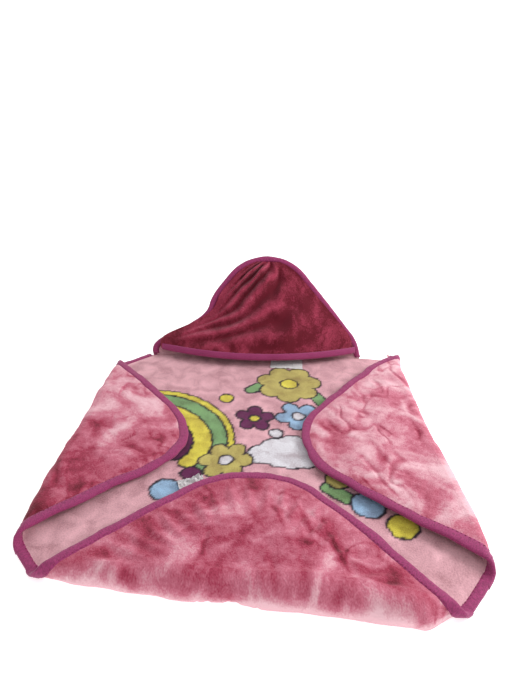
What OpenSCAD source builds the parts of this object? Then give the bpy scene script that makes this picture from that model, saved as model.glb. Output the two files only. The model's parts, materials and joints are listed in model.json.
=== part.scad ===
// Hooded baby towel: two plies of plush bound all round with tape, laid with one corner away.
// Three corners are folded in over the middle and the fourth is a raised hood.
// Origin: centre of the cloth on the surface it lies on. +Y points to the hood, +Z is up.

/* [Cloth] */
// Length of the cloth's longer side, which runs from the left corner to the hood
cloth_l = 822; // [640:2:1000]
// Length of the cloth's shorter side
cloth_w = 778; // [640:2:940]
// Radius of the cloth's rounded corners
corner_r = 136; // [90:2:165]
// Thickness of one ply of plush with its pile
ply_t = 4; // [3:0.5:5]
// Thickness of one ply where the binding grips it
tongue_t = 2; // [1.5:0.5:2.5]
// Play between two layers of cloth that are sewn together
sew_gap = 0.1; // [0.05:0.05:0.3]

/* [Binding] */
// Width of the folded binding on each face
band_w = 14; // [10:1:18]
// Thickness of the binding tape
tape_t = 1; // [0.5:0.25:1.5]
// Distance from the binding's inner edge to its row of stitches
stitch_in = 2; // [1:0.5:4]
// Width of the row of stitches
stitch_w = 0.8; // [0.5:0.1:1.5]
// Height of the stitches above the tape
stitch_h = 0.4; // [0.2:0.1:0.8]

/* [Folds] */
// Distance from the middle of a side to the near end of the left fold
left_in = 51; // [40:1:120]
// Distance from the middle of a side to the ends of the foot fold
foot_in = 15; // [5:1:120]
// Distance past the middle of a side to the far end of the right fold
right_past = 41; // [-60:1:45]
// Angle by which the right fold is off square with the other folds
right_turn = 3.8; // [0:0.1:6]
// Radius left open inside each fold
fold_gap_r = 5; // [3:0.5:9]
// Clearance between a flap's tip and the cloth under it
rest_gap = 0.3; // [0.2:0.1:1]
// Clearance between a moving piece of cloth and the fold it runs on from
seam_gap = 0.3; // [0.2:0.1:1]

/* [Hood] */
// Depth of the hood from its rounded point to the line where it rises
hood_top = 219; // [180:1:240]
// Distance along that line from the cloth's left edge to the hood's left end
hood_left_gap = 37; // [30:1:60]
// Distance along that line from the hood's right end to the crest of the right fold
hood_right_gap = 55; // [45:1:80]
// Radius of the hood's rounded point
hood_r = 100; // [80:2:130]
// Angle between the raised hood and the middle of the cloth
hood_raise = 60; // [45:1:75]
// Angle by which the hood's line is turned from straight across
hood_turn = 3.5; // [0:0.5:6]
// Height of the pocket between the hood's front and its back, at the middle of its mouth
pocket_h = 45; // [35:1:60]
// Distance from the hood's line up to the ends of its mouth
mouth_rise = 13; // [8:1:20]
// Distance by which the middle of the mouth hangs lower than its ends
mouth_sag = 21; // [10:1:21]
// Thickness of the lining inside the hood's front
lining_t = 2; // [1.5:0.5:3]
// Distance from the hood's edge to the edge of its front
front_in = 6; // [4:1:8]

/* [Tab] */
// Length of the blank tab along the foot flap's edge
tab_l = 42; // [25:1:60]
// Distance by which the tab stands out past the binding
tab_out = 28; // [15:1:35]
// Thickness of the tab
tab_t = 0.6; // [0.4:0.1:1]
// Distance along the straight edge from the end of the foot corner's curve to the tab's middle
tab_past = 4; // [0:2:60]

/* [Care label] */
// Width of the blank care label along the hood's line
label_w = 66; // [40:2:80]
// Length of the label from the hood's line towards the centre
label_l = 34; // [25:1:45]
// Thickness of the label
label_t = 0.4; // [0.2:0.1:0.6]
// Distance of the label's middle to the right of the hood's middle
label_x = 44; // [0:2:100]

/* [Hidden] */
$fn = 96;

plush_colour = "palevioletred";
ground_colour = "pink";
tape_colour = "mediumvioletred";
thread_colour = "purple";
tab_colour = "silver";
label_colour = "white";

LEFT = 0;
RIGHT = 1;
FOOT = 2;
SIDES = [LEFT, RIGHT, FOOT];
facing = [180, 0, -90];
turn = [0, right_turn, 0];

// Square corners of the cloth before they are rounded
half_diagonal = (cloth_l + cloth_w) / (2 * sqrt(2));
diagonal_shift = (cloth_l - cloth_w) / (2 * sqrt(2));
corner = [
    [-half_diagonal, -diagonal_shift],
    [half_diagonal, diagonal_shift],
    [-diagonal_shift, -half_diagonal]
];
hood_corner = [diagonal_shift, half_diagonal];

// Heights of the cloth lying flat, measured at the face between its two plies
mid_z = ply_t + sew_gap / 2;
stack_t = 2 * mid_z;
tape_z = tongue_t + sew_gap / 2 + sew_gap;
tape_top = tape_z + tape_t;

// A fold rolls the cloth half way round with its crest at the fold line
roll_mid = fold_gap_r + mid_z;
roll_out = fold_gap_r + stack_t;
roll_flat = PI * roll_mid - roll_out;
pivot_out = (roll_flat - roll_out) / 2;
far = 4 * (cloth_l + cloth_w);

function spun(p, a) = [p.x * cos(a) - p.y * sin(a), p.x * sin(a) + p.y * cos(a)];
function away(side) = facing[side] + turn[side];

// Distance from the origin to the rounded tip of a corner, along a direction
function tip_reach(point, faces, direction) =
    spun(point + spun([-corner_r * sqrt(2), 0], faces), -direction).x + corner_r;

// Each fold starts on a side of the cloth, at this distance from the corner that it folds in
half_side = min(cloth_l, cloth_w) / 2;
fold_from = [half_side - left_in, half_side + right_past, half_side - foot_in];
function fold_start(side) = corner[side] + spun([-fold_from[side], 0], facing[side] - 45);
function crest(side) = spun(fold_start(side), -away(side)).x;
function depth(side) = tip_reach(corner[side], facing[side], away(side)) - crest(side);

// Ends of a fold, measured along it
function corner_in(side) = spun(corner[side], -away(side));
function fold_top(side) =
    corner_in(side).y + (corner_in(side).x - crest(side)) * tan(45 + turn[side]);
function fold_low(side) =
    corner_in(side).y - (corner_in(side).x - crest(side)) * tan(45 - turn[side]);

// Angle of a folded flap past flat over, so that its tip comes to rest on the cloth
function reach(side) = depth(side) - pivot_out;
function tilt(side) =
    atan2(roll_out - mid_z, reach(side))
    + asin((roll_out - stack_t - rest_gap - ply_t) / norm([reach(side), roll_out - mid_z]));

// The hood is a triangle with a rounded point, drawn flat with its line along X
hood_away = 90 + hood_turn;
hood_base = tip_reach(hood_corner, 90, hood_away) - hood_top;
hood_corner_in = spun(hood_corner, -hood_turn);
hood_left = hood_corner_in.x - (hood_corner_in.y - hood_base) / tan(45 - hood_turn) + hood_left_gap;
fold_skew = right_turn - hood_turn;
hood_right = (crest(RIGHT) - hood_base * sin(fold_skew)) / cos(fold_skew) - hood_right_gap;
hood_w = hood_right - hood_left;
hood_x = (hood_right + hood_left) / 2;
hood_centre = hood_top - hood_r;
hood_flank = atan2(hood_centre, hood_w / 2) + asin(hood_r / norm([hood_w / 2, hood_centre]));
hood_hinge = roll_mid * tan(hood_raise / 2);
hood_start = 2 * hood_hinge + seam_gap;
shoulder = hood_centre + hood_r * cos(hood_flank);

// Half width of the hood at a height, with its edge moved in
function flank_at(y, inset) = hood_w / 2 - inset / sin(hood_flank) - max(y, 0) / tan(hood_flank);
function round_at(y, inset) = sqrt(max(0, pow(hood_r - inset, 2) - pow(y - hood_centre, 2)));
function half_width(y, inset) = y < shoulder ? flank_at(y, inset) : round_at(y, inset);

// The hood's front stands off its back by a smooth bulge, highest at the middle of the mouth
front_columns = 24;
front_rows = 14;
front_top = hood_top - 2 * front_in;
front_z = mid_z + ply_t + rest_gap;
function row_y(t) = mouth_rise + t * (front_top - mouth_rise);
function front_y(s, t) = row_y(t) - mouth_sag * (1 - t) * (1 - s * s);
function front_x(s, t) = s * half_width(row_y(t), front_in);
function bulge(s, t) = pocket_h * pow(1 - s * s, 0.8) * pow(1 - t, 1.1);
function front_point(s, t, lift) = [front_x(s, t), front_y(s, t), front_z + bulge(s, t) + lift];
mouth_t = band_w / (front_top - mouth_rise);

// ---- Flat outlines ----

module cloth(inset) {
    square([cloth_l - 2 * corner_r, cloth_w - 2 * inset], center = true);
    square([cloth_l - 2 * inset, cloth_w - 2 * corner_r], center = true);
    for (x = [-1, 1], y = [-1, 1])
        translate([x * (cloth_l / 2 - corner_r), y * (cloth_w / 2 - corner_r)])
            circle(corner_r - inset);
}

module whole_cloth(inset) {
    rotate(45) cloth(inset);
}

module cloth_beside(side, inset) {
    translate([-crest(side), 0]) rotate(-away(side)) whole_cloth(inset);
}

module past(start) {
    translate([start, -far / 2]) square(far);
}

module centre_area(inset) {
    difference() {
        whole_cloth(inset);
        for (side = SIDES)
            rotate(away(side)) translate([crest(side), 0]) past(-roll_out - seam_gap);
        rotate(hood_away) past(hood_base - seam_gap);
    }
}

module flap_area(side, inset) {
    intersection() {
        cloth_beside(side, inset);
        past(roll_flat);
    }
}

module hood_area(inset) {
    half_base = flank_at(0, inset);
    half_shoulder = (hood_r - inset) * sin(hood_flank);
    round_y = hood_centre + (hood_r - inset) * cos(hood_flank);
    difference() {
        union() {
            polygon([
                [-half_base, 0],
                [half_base, 0],
                [half_shoulder, round_y],
                [-half_shoulder, round_y]
            ]);
            translate([0, hood_centre]) circle(hood_r - inset);
        }
        translate([-far / 2, hood_start - far]) square(far);
    }
}

// ---- Layers, drawn flat with the face between the plies at Z = 0 ----
// Each takes two flat outlines as children: the cloth up to the binding, then up to the tape.

module ply_layer(up) {
    mirror([0, 0, up ? 0 : 1]) translate([0, 0, sew_gap / 2]) {
        linear_extrude(ply_t) children(0);
        linear_extrude(tongue_t) children(1);
    }
}

// Takes three outlines: the whole cloth, the cloth up to the tape and the cloth up to the binding
module binding_layer() {
    difference() {
        translate([0, 0, -tape_top]) linear_extrude(2 * tape_top) children(0);
        translate([0, 0, -tape_z]) linear_extrude(2 * tape_z) children(1);
        translate([0, 0, -far / 2]) linear_extrude(far) children(2);
    }
}

// Takes the outlines at the row of stitches' outer and inner edges
module stitch_layer() {
    for (z = [-tape_top - stitch_h, tape_top])
        translate([0, 0, z]) linear_extrude(stitch_h) difference() {
            children(0);
            children(1);
        }
}

grip_in = tape_t + sew_gap;
ply_in = band_w + sew_gap;
stitch_out = band_w - stitch_in - stitch_w;

// ---- Placing ----

module at_fold(side) {
    rotate(away(side)) translate([crest(side), 0, 0]) children();
}

module folded(side) {
    at_fold(side)
        translate([pivot_out, 0, roll_out])
            rotate([0, -180 - tilt(side), 0])
                translate([-pivot_out, 0, mid_z - roll_out]) children();
}

module at_hood() {
    rotate(hood_turn) translate([hood_x, hood_base, 0]) children();
}

module raised() {
    at_hood()
        translate([0, hood_hinge, mid_z])
            rotate([hood_raise, 0, 0])
                translate([0, -hood_hinge, 0]) children();
}

// ---- Rolled cloth: a fold's profile turned about its own axis ----

module ring_part(r, half_length) {
    translate([r.x, -half_length]) square([r.y - r.x, 2 * half_length]);
}

module roll_ply(half_length, turned, outer) {
    body_r = outer ? [roll_mid + sew_gap / 2, roll_out] : [fold_gap_r, roll_mid - sew_gap / 2];
    grip_r = outer
        ? [roll_mid + sew_gap / 2, roll_mid + sew_gap / 2 + tongue_t]
        : [roll_mid - sew_gap / 2 - tongue_t, roll_mid - sew_gap / 2];
    rotate_extrude(angle = turned) {
        ring_part(body_r, half_length - ply_in);
        ring_part(grip_r, half_length - grip_in);
    }
}

module roll_bindings(half_length, turned) {
    rotate_extrude(angle = turned) difference() {
        ring_part([roll_mid - tape_top, roll_mid + tape_top], half_length);
        ring_part([roll_mid - tape_z, roll_mid + tape_z], half_length - tape_t);
        ring_part([0, 2 * roll_out], half_length - band_w);
    }
}

module on_fold(side) {
    at_fold(side)
        translate([-roll_out, (fold_top(side) + fold_low(side)) / 2, roll_out])
            rotate([0, -90, -90]) children();
}

function half_fold(side) = (fold_top(side) - fold_low(side)) / 2;

module on_hood_bend() {
    at_hood() translate([0, 0, roll_out]) rotate([0, 90, 0]) children();
}

// ---- Centre ----

module centre_outer_ply() {
    color(plush_colour) translate([0, 0, mid_z]) ply_layer(false) {
        centre_area(ply_in);
        centre_area(grip_in);
    }
}

module centre_inner_ply() {
    color(ground_colour) translate([0, 0, mid_z]) ply_layer(true) {
        centre_area(ply_in);
        centre_area(grip_in);
    }
}

module centre_bindings() {
    color(tape_colour) translate([0, 0, mid_z]) binding_layer() {
        centre_area(0);
        whole_cloth(tape_t);
        whole_cloth(band_w);
    }
}

module centre_stitching() {
    color(thread_colour) translate([0, 0, mid_z]) stitch_layer() {
        centre_area(stitch_out);
        whole_cloth(stitch_out + stitch_w);
    }
}

// ---- Folds ----

module fold_outer_ply(side) {
    color(plush_colour) on_fold(side) roll_ply(half_fold(side), 180, true);
}

module fold_inner_ply(side) {
    color(ground_colour) on_fold(side) roll_ply(half_fold(side), 180, false);
}

module fold_bindings(side) {
    color(tape_colour) on_fold(side) roll_bindings(half_fold(side), 180);
}

// ---- Flaps ----

module flap_outer_ply(side) {
    color(plush_colour) folded(side) ply_layer(false) {
        flap_area(side, ply_in);
        flap_area(side, grip_in);
    }
}

module flap_inner_ply(side) {
    color(ground_colour) folded(side) ply_layer(true) {
        flap_area(side, ply_in);
        flap_area(side, grip_in);
    }
}

module flap_binding(side) {
    color(tape_colour) folded(side) binding_layer() {
        flap_area(side, 0);
        cloth_beside(side, tape_t);
        cloth_beside(side, band_w);
    }
}

module flap_stitching(side) {
    color(thread_colour) folded(side) stitch_layer() {
        flap_area(side, stitch_out);
        cloth_beside(side, stitch_out + stitch_w);
    }
}

// A blank tab sewn under the binding of the straight edge towards the left
module edge_tab() {
    along = corner_r + tab_past;
    edge_x = corner_in(FOOT).x - crest(FOOT) - along / sqrt(2);
    edge_y = corner_in(FOOT).y - along / sqrt(2);
    color(tab_colour) folded(FOOT)
        translate([edge_x, edge_y, tape_top + stitch_h + sew_gap]) rotate(-45)
            translate([-band_w, -tab_l / 2, 0]) cube([tab_out + band_w, tab_l, tab_t]);
}

// ---- Hood ----

module hood_bend_outer_ply() {
    color(plush_colour) on_hood_bend() roll_ply(hood_w / 2, hood_raise, true);
}

module hood_bend_inner_ply() {
    color(ground_colour) on_hood_bend() roll_ply(hood_w / 2, hood_raise, false);
}

module hood_bend_bindings() {
    color(tape_colour) on_hood_bend() roll_bindings(hood_w / 2, hood_raise);
}

// A blank label sewn at the hood's line, lying on the centre under the mouth
module care_label() {
    color(label_colour) at_hood()
        translate([label_x - label_w / 2, -seam_gap - label_l, stack_t + sew_gap])
            cube([label_w, label_l, label_t]);
}

module hood_back_outer_ply() {
    color(plush_colour) raised() ply_layer(false) {
        hood_area(ply_in);
        hood_area(grip_in);
    }
}

module hood_back_inner_ply() {
    color(ground_colour) raised() ply_layer(true) {
        hood_area(ply_in);
        hood_area(grip_in);
    }
}

module hood_edge_binding() {
    color(tape_colour) raised() difference() {
        translate([0, 0, -tape_top]) linear_extrude(2 * tape_top) hood_area(0);
        translate([0, 0, -tape_z]) linear_extrude(2 * tape_z) hood_area(tape_t);
        translate([0, 0, -far / 2]) linear_extrude(far) hood_area(band_w);
    }
}

module hood_edge_stitching() {
    color(thread_colour) raised() stitch_layer() {
        hood_area(stitch_out);
        hood_area(stitch_out + stitch_w);
    }
}

// A curved sheet between two heights above the hood's front, as a closed grid of points
module front_sheet(t_from, t_to, rows, low, high) {
    columns = front_columns + 1;
    layer = columns * (rows + 1);
    points = [
        for (lift = [low, high], row = [0:rows], column = [0:front_columns])
            front_point(
                2 * column / front_columns - 1,
                t_from + (t_to - t_from) * row / rows,
                lift
            )
    ];
    function at(level, row, column) = level * layer + row * columns + column;
    faces = concat(
        [
            for (row = [0:rows - 1], column = [0:front_columns - 1])
                [at(0, row, column), at(0, row, column + 1),
                 at(0, row + 1, column + 1), at(0, row + 1, column)]
        ],
        [
            for (row = [0:rows - 1], column = [0:front_columns - 1])
                [at(1, row, column), at(1, row + 1, column),
                 at(1, row + 1, column + 1), at(1, row, column + 1)]
        ],
        [
            for (column = [0:front_columns - 1])
                [at(0, 0, column), at(1, 0, column), at(1, 0, column + 1), at(0, 0, column + 1)]
        ],
        [
            for (column = [0:front_columns - 1])
                [at(0, rows, column + 1), at(1, rows, column + 1),
                 at(1, rows, column), at(0, rows, column)]
        ],
        [
            for (row = [0:rows - 1])
                [at(0, row + 1, 0), at(1, row + 1, 0), at(1, row, 0), at(0, row, 0)]
        ],
        [
            for (row = [0:rows - 1])
                [at(0, row, front_columns), at(1, row, front_columns),
                 at(1, row + 1, front_columns), at(0, row + 1, front_columns)]
        ]
    );
    raised() translate([0, 0, -mid_z]) polyhedron(points, faces, convexity = 4);
}

module hood_front_lining() {
    color(ground_colour) front_sheet(mouth_t, 1, front_rows, 0, lining_t);
}

module hood_front_ply() {
    low = lining_t + sew_gap;
    color(plush_colour) front_sheet(mouth_t, 1, front_rows, low, low + ply_t);
}

module hood_mouth_binding() {
    color(tape_colour)
        front_sheet(0, mouth_t - sew_gap / front_top, 2, 0, lining_t + sew_gap + ply_t);
}

centre_outer_ply();
centre_inner_ply();
centre_bindings();
centre_stitching();
fold_outer_ply(LEFT);  // left_fold_outer_ply
fold_inner_ply(LEFT);  // left_fold_inner_ply
fold_bindings(LEFT);  // left_fold_bindings
fold_outer_ply(RIGHT);  // right_fold_outer_ply
fold_inner_ply(RIGHT);  // right_fold_inner_ply
fold_bindings(RIGHT);  // right_fold_bindings
fold_outer_ply(FOOT);  // foot_fold_outer_ply
fold_inner_ply(FOOT);  // foot_fold_inner_ply
fold_bindings(FOOT);  // foot_fold_bindings
flap_outer_ply(LEFT);  // left_flap_outer_ply
flap_inner_ply(LEFT);  // left_flap_inner_ply
flap_binding(LEFT);  // left_flap_binding
flap_stitching(LEFT);  // left_flap_stitching
flap_outer_ply(RIGHT);  // right_flap_outer_ply
flap_inner_ply(RIGHT);  // right_flap_inner_ply
flap_binding(RIGHT);  // right_flap_binding
flap_stitching(RIGHT);  // right_flap_stitching
flap_outer_ply(FOOT);  // foot_flap_outer_ply
flap_inner_ply(FOOT);  // foot_flap_inner_ply
flap_binding(FOOT);  // foot_flap_binding
flap_stitching(FOOT);  // foot_flap_stitching
hood_bend_outer_ply();
hood_bend_inner_ply();
hood_bend_bindings();
hood_back_outer_ply();
hood_back_inner_ply();
hood_edge_binding();
hood_edge_stitching();
hood_front_ply();
hood_front_lining();
hood_mouth_binding();
edge_tab();
care_label();
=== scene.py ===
"""Hooded baby towel: two plies of plush bound with tape, three corners folded in and a raised hood.

Metres, +Y towards the hood, +Z up, with the origin at the middle of the cloth's underside.
"""
import json
import math

import bmesh
import bpy
from mathutils import Matrix, Vector, noise


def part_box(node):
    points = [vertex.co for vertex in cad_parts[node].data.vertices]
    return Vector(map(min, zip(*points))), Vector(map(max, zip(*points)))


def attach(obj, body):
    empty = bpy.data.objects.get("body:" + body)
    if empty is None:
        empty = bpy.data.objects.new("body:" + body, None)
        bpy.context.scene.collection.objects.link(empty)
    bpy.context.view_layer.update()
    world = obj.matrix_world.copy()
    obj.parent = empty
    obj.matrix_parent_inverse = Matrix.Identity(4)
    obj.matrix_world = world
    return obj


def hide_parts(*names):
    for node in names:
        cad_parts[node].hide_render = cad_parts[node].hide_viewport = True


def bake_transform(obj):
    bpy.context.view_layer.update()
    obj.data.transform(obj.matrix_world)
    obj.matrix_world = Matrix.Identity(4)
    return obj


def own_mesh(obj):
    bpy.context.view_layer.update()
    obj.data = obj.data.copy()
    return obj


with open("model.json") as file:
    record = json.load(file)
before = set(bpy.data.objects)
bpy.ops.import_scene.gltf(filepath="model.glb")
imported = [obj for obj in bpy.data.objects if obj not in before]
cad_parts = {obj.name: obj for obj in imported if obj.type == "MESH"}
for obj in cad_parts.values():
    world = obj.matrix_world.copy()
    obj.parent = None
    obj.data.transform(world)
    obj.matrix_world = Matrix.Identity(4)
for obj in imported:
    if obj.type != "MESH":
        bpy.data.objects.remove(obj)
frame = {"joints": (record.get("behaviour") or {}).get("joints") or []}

MM = 0.001
UP = Vector((0, 0, 1))
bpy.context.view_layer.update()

# ---- The cloth, as it is cut ----
CLOTH_L = 822 * MM
CLOTH_W = 778 * MM
CORNER_R = 136 * MM
# Its square corners, before they are rounded, are this far out from the middle and this far aside
DIAGONAL = (CLOTH_L + CLOTH_W) / (2 * math.sqrt(2))
SHIFT = (CLOTH_L - CLOTH_W) / (2 * math.sqrt(2))
# A ply's thickness, and what is left of it where the binding grips it
PLY = 4 * MM
GRIP = 2 * MM
# The tape's width, its half thickness, and how far the plies stop short of its outer edge
BAND = 14 * MM
TAPE_HALF = 3.6 * MM
EDGE_INSET = 2 * MM
# How unevenly the tape is gathered, and how far its stitches are in from its middle line
PUCKER = 0.25
STITCH_IN = BAND / 2 - 2 * MM
STITCH_PITCH = 4.2 * MM
STITCH_LENGTH = 3 * MM
STITCH_WIDTH = 0.9 * MM
STITCH_THICK = 0.8 * MM


def joint_named(name):
    return next(joint for joint in frame["joints"] if joint["name"] == name)


# ---- The rolled folds, across the fold from its crest, where the cloth's outline is outermost ----
# Height of the face between the two plies, on the floor
MID_Z = (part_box("centre_outer_ply")[1].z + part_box("centre_inner_ply")[0].z) / 2
# Radius of the roll at its outer face and at that middle face
ROLL_OUT = joint_named("left_flap_fold")["pos_m"][2]
ROLL_MID = ROLL_OUT - MID_Z
# Flat distance past the crest at which the roll ends and the flap begins
ROLL_FLAT = math.pi * ROLL_MID - ROLL_OUT
# How far past the crest the joint's axis is
PIVOT_OUT = (ROLL_FLAT - ROLL_OUT) / 2
# Where the ground cloth stops and a corner's plies begin
SEAM = -16 * MM
# About how far from the crest the full pile at a fold reaches
NOSE_REACH = 16 * MM


def smooth(value, low, high):
    """0 below low, 1 above high and a smooth rise between."""
    t = min(1, max(0, (value - low) / (high - low)))
    return t * t * (3 - 2 * t)


def mix(a, b, t):
    return a + (b - a) * t


def waves(x, y, size, octaves=2, seed=0.0):
    """Smooth noise from about -1 to 1, with lumps about size apart."""
    return noise.fractal((x / size, y / size, seed), 1.0, 2.0, octaves)


def edge_in(x, y):
    """Distance from the flat cloth's bound edge, inwards."""
    along = abs(x + y) / math.sqrt(2) - (CLOTH_L / 2 - CORNER_R)
    across = abs(x - y) / math.sqrt(2) - (CLOTH_W / 2 - CORNER_R)
    outside = math.hypot(max(along, 0), max(across, 0))
    return CORNER_R - outside - min(max(along, across), 0)


# Where the cloth has crept on the floor, in millimetres: a place, how far the pull reaches, how far it moves
PULLS = [
    ((262, 310), 42, (14, -10)),
    ((-135, -5), 80, (10, -11)),
    ((240, -300), 90, (-4, -14)),
    ((290, -215), 55, (5, 12)),
    ((-330, 10), 90, (5, 0)),
    ((285, 60), 100, (-6, 0)),
]


def pulled(point):
    """The point, moved along the floor by the pulls near it."""
    moved = Vector(point)
    for place, reach, move in PULLS:
        away = math.hypot(point.x - place[0] * MM, point.y - place[1] * MM) / (reach * MM)
        share = math.exp(-away * away)
        moved.x += move[0] * MM * share
        moved.y += move[1] * MM * share
    return moved


class Fold:
    """A line where a corner of the cloth rolls over, placed by the joint that opens it.

    rest_z is the height of the flap's tip, and puff how far its middle is raised. loft is how full the outer
    pile is, and channel how deep the gathers at its binding are. nose is how far the pile bulges at the fold,
    and how much more of that there is per metre along it. tone is painted light: how pale the pile looks, as
    painted sheen and shade, how much paler per metre along the fold, and how much paler at the fold itself as
    a painted highlight.
    """

    def __init__(self, side, corner, rest_z, puff, loft, channel, nose, tone, seed):
        joint = joint_named(side + "_flap_fold")
        self.side = side
        self.body = joint["child"]
        self.along = Vector(joint["axis"])
        self.out = self.along.cross(UP)
        self.crest = Vector(joint["pos_m"]).dot(self.out) - PIVOT_OUT
        self.corner = Vector((*corner, 0))
        self.tip = self.corner_centre().dot(self.out) + CORNER_R - self.crest
        self.rest_z = rest_z
        self.puff = puff
        self.loft = loft
        self.channel = channel
        self.nose, self.nose_slope = nose
        self.tone, self.tone_slope, self.painted_fold_highlight = tone
        self.seed = seed

    def corner_centre(self):
        """Middle of the arc that rounds the corner."""
        inwards = -self.corner.normalized()
        square = Vector((round(inwards.x), round(inwards.y), 0))
        return self.corner + square * CORNER_R * math.sqrt(2)

    def flat(self, x, y):
        """Distances past the crest and along the fold, for a point of the flat cloth."""
        point = Vector((x, y, 0))
        return point.dot(self.out) - self.crest, point.dot(self.along)

    def place(self, u, v, z):
        """A place from its distance past the crest, along the fold and up."""
        return self.out * (self.crest + u) + self.along * v + UP * z

    def flap_height(self, s):
        """Height of the folded flap's middle face, a share s of the way to its tip."""
        top = ROLL_OUT + ROLL_MID
        return self.rest_z + (top - self.rest_z) * (1 - s) ** 1.35 + self.puff * math.sin(math.pi * s)

    def rolled(self, u):
        """Distance inwards, height and direction of the middle face, past the crest by u when flat."""
        if u < -ROLL_OUT:
            return -u, MID_Z, Vector((-1, 0))
        if u < ROLL_FLAT:
            turn = (u + ROLL_OUT) / ROLL_MID
            inwards = ROLL_OUT - ROLL_MID * math.sin(turn)
            height = ROLL_OUT - ROLL_MID * math.cos(turn)
            return inwards, height, Vector((-math.cos(turn), math.sin(turn)))
        length = self.tip - ROLL_FLAT
        s = min(1, (u - ROLL_FLAT) / length)
        step = 0.01
        rise = self.flap_height(min(1, s + step)) - self.flap_height(max(0, s - step))
        run = (min(1, s + step) - max(0, s - step)) * length
        return ROLL_OUT + u - ROLL_FLAT, self.flap_height(s), Vector((run, rise)).normalized()

    def lay(self, x, y, lift):
        """Where a point of the flat cloth goes, lifted off the middle face towards the inner ply."""
        u, v = self.flat(x, y)
        over = smooth(u, -ROLL_OUT, ROLL_FLAT)
        beyond_roll = smooth(u, ROLL_FLAT, ROLL_FLAT + 50 * MM)
        u += 4 * MM * waves(x, y, 55 * MM, 2, self.seed + 50) * beyond_roll
        v += 2 * MM * waves(x, y, 55 * MM, 2, self.seed + 60) * beyond_roll
        inwards, height, heading = self.rolled(u)
        height += over * self.ripple(u, v)
        # The inner face is to the left of the heading on the floor and under it once folded
        side_out = heading.y * lift
        side_up = -heading.x * lift
        return pulled(self.place(-inwards - side_out, v, max(0, height + side_up)))

    def bulge(self, v):
        """How far the pile bulges out of the fold, at a distance along it."""
        return self.nose * (0.55 + v * self.nose_slope)

    def grain_spot(self, x, y):
        """Fold coordinates, with the full nose given the extra length that it takes up."""
        u, v = self.flat(x, y)
        return u + 1.8 * self.bulge(v) * math.tanh(u / NOSE_REACH), v

    def brushed(self, x, y):
        """How pale the outer pile looks, as painted sheen and painted shade, with a painted highlight along
        the fold where the fibre tips show against the light.
        """
        u, v = self.grain_spot(x, y)
        reach = NOSE_REACH + 10 * MM * waves(u, v, 60 * MM, 2, self.seed + 40)
        painted_fold_highlight = self.painted_fold_highlight * math.exp(-(((u + 10 * MM) / reach) ** 2))
        spot = self.place(u, v, 0)
        return 0.42 + 0.36 * pile_lay_and_sheen(spot.x, spot.y) + self.tone + v * self.tone_slope + painted_fold_highlight

    def ripple(self, u, v):
        """Slow rise and fall of the folded flap."""
        return 2.5 * MM * waves(u, v, 90 * MM, 2, self.seed)


# Each fold's tone paints light on its flap: an overall paleness, a painted shade gradient along the fold and
# a painted highlight at the fold
LEFT = Fold(
    "left", (-DIAGONAL, -SHIFT), rest_z=15 * MM, puff=2 * MM, loft=5 * MM, channel=1 * MM,
    nose=(2 * MM, 0), tone=(0.17, -1.7, 0.1), seed=3.0,
)
RIGHT = Fold(
    "right", (DIAGONAL, SHIFT), rest_z=14 * MM, puff=3 * MM, loft=6 * MM, channel=1 * MM,
    nose=(2 * MM, 0), tone=(0.30, 0.0, 0.1), seed=7.0,
)
FOOT = Fold(
    "foot", (-SHIFT, -DIAGONAL), rest_z=14 * MM, puff=4 * MM, loft=9 * MM, channel=4 * MM,
    nose=(20 * MM, 2.0), tone=(0.05, 0.3, 0.78), seed=11.0,
)
FOLDS = [LEFT, RIGHT, FOOT]

# ---- The hood's hinge and outline ----

hood_joint = joint_named("hood_raise")
HOOD_ALONG = Vector(hood_joint["axis"])
HOOD_OUT = UP.cross(HOOD_ALONG)
HOOD_PIVOT = Vector(hood_joint["pos_m"])
HOOD_RAISE = math.radians(60)
HOOD_HINGE = ROLL_MID * math.tan(HOOD_RAISE / 2)
HOOD_BASE = HOOD_PIVOT.dot(HOOD_OUT) - HOOD_HINGE
HOOD_MIDDLE = HOOD_PIVOT.dot(HOOD_ALONG)
HOOD_ARC = HOOD_RAISE * ROLL_MID
# Height of the hood's back above its line, radius of its round top, and half its width at the line
HOOD_TOP = 219 * MM
HOOD_R = 100 * MM
HOOD_HALF = 225 * MM


def hood_lay(x, y, lift):
    """Where a point of the hood's flat back goes: x along its line from its middle, y up from it."""
    turn = min(max(y / ROLL_MID, 0), HOOD_RAISE)
    arc = turn * ROLL_MID
    spare = y - arc if y > 0 else 0
    out = ROLL_MID * math.sin(turn) + spare * math.cos(turn) + min(y, 0)
    up = ROLL_OUT - ROLL_MID * math.cos(turn) + spare * math.sin(turn)
    out -= lift * math.sin(turn)
    up += lift * math.cos(turn)
    return HOOD_ALONG * (HOOD_MIDDLE + x) + HOOD_OUT * (HOOD_BASE + out) + UP * up


def hood_half_width(y):
    """Half width of the hood's back at a height above its line."""
    centre = HOOD_TOP - HOOD_R
    slope = math.atan2(centre, HOOD_HALF) + math.asin(HOOD_R / math.hypot(HOOD_HALF, centre))
    shoulder = centre + HOOD_R * math.cos(slope)
    if y < shoulder:
        return HOOD_HALF - max(y, 0) / math.tan(slope)
    return math.sqrt(max(0, HOOD_R**2 - (y - centre) ** 2))


def hood_stand(x, y, lift):
    """As hood_lay, but straight: the pocket's front stays off the bend at the hood's line."""
    rise = y - HOOD_ARC + HOOD_HINGE
    out = rise * math.cos(HOOD_RAISE) - lift * math.sin(HOOD_RAISE)
    up = rise * math.sin(HOOD_RAISE) + lift * math.cos(HOOD_RAISE)
    return HOOD_PIVOT + HOOD_ALONG * x + HOOD_OUT * out + UP * up


# ---- How the pile lies ----

def swirl(x, y, size, seed):
    """Smooth noise that curls, like pile brushed by hand."""
    bend_x = waves(x, y, size, 1, seed + 20) * size * 0.8
    bend_y = waves(x, y, size, 1, seed + 30) * size * 0.8
    return waves(x + bend_x, y + bend_y, size * 0.6, 3, seed)


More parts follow.
